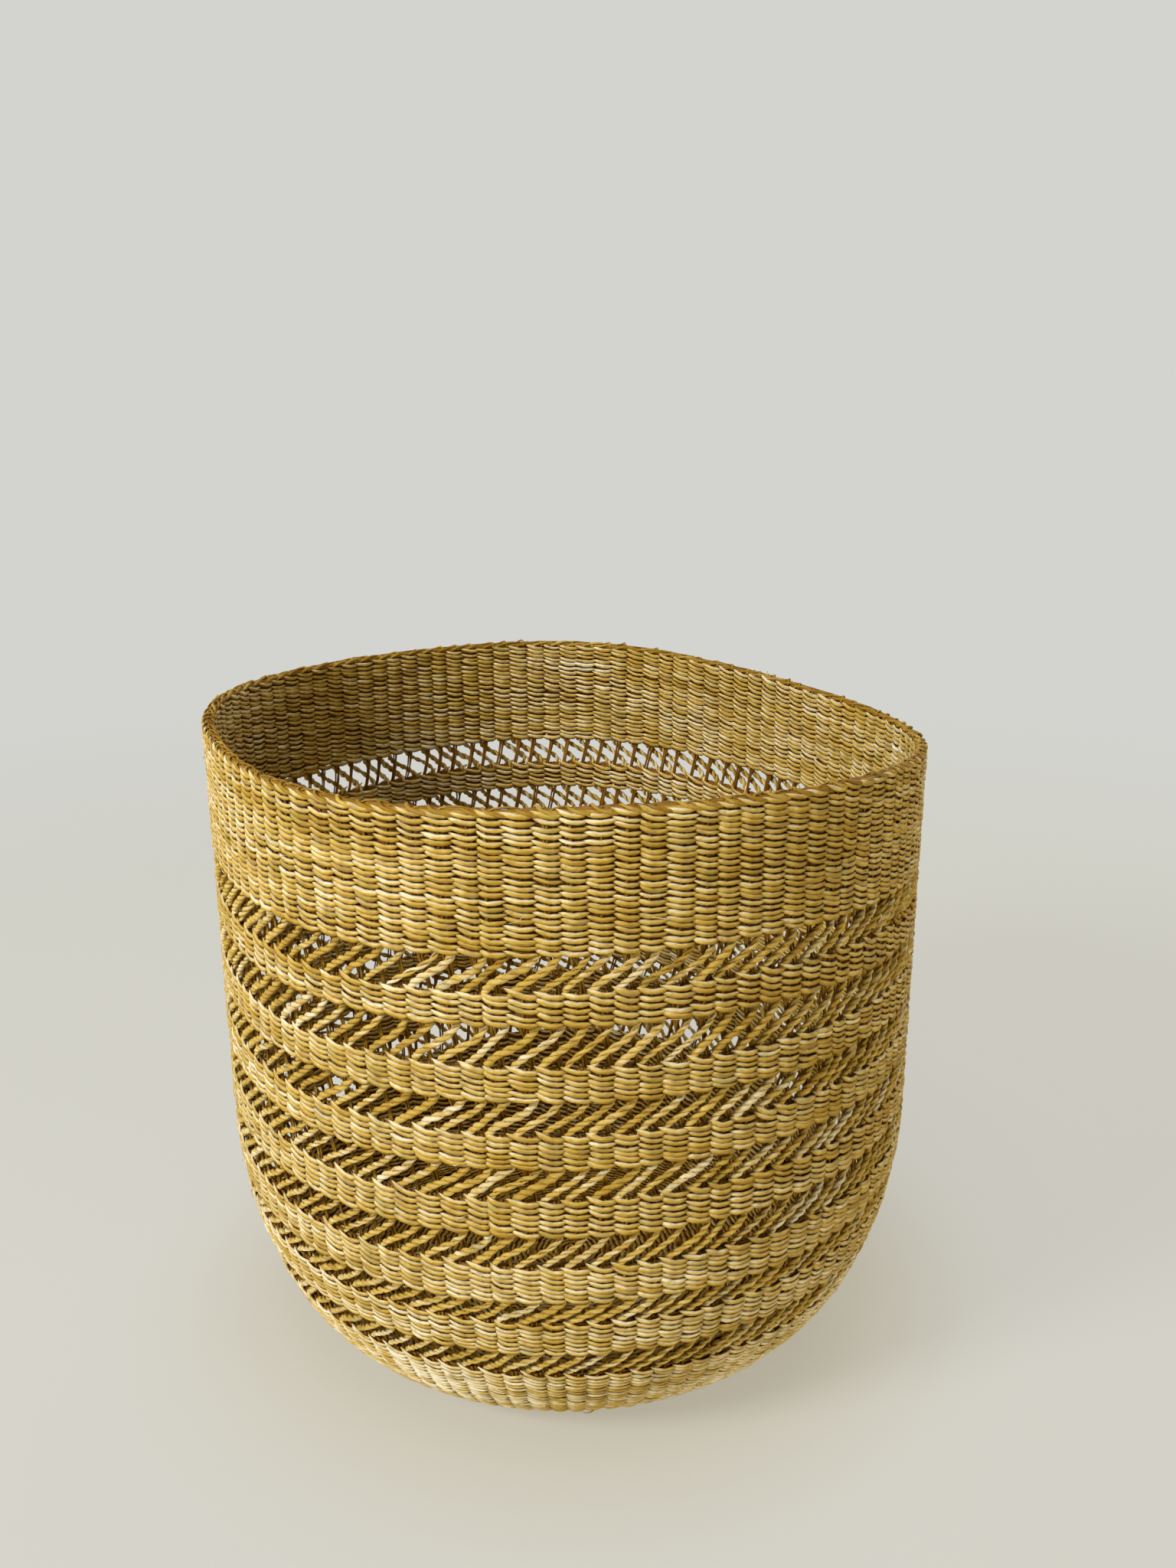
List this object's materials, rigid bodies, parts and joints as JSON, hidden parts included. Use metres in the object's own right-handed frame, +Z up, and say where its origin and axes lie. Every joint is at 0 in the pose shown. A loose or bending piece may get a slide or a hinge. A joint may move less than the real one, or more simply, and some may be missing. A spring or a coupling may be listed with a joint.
{
  "type": "woven basket",
  "caption": "Round open basket of twined straw: flat base, rounded foot, upright wall with openwork bands of slanting ropes between closed bands, and a plaited rim.",
  "frame": {"origin": "on the floor, under the middle of the base", "axes": "+Z up; -Y towards the side that the picture shows, +X to its right"},
  "size_m": [0.3638, 0.3628, 0.3261],
  "materials": {
    "base_straw": "dry twisted elephant grass, twined flat",
    "wall_straw": "dry twisted elephant grass with a soft sheen, twined",
    "border_straw": "dry elephant grass, plaited"
  },
  "bodies": {
    "root": {"base_disc": "base_straw", "foot_band": "wall_straw", "weave_band_1": "wall_straw", "weave_band_2": "wall_straw", "weave_band_3": "wall_straw", "weave_band_4": "wall_straw", "weave_band_5": "wall_straw", "weave_band_6": "wall_straw", "upper_band": "wall_straw", "rim_border": "border_straw"}
  },
  "joints": []
}
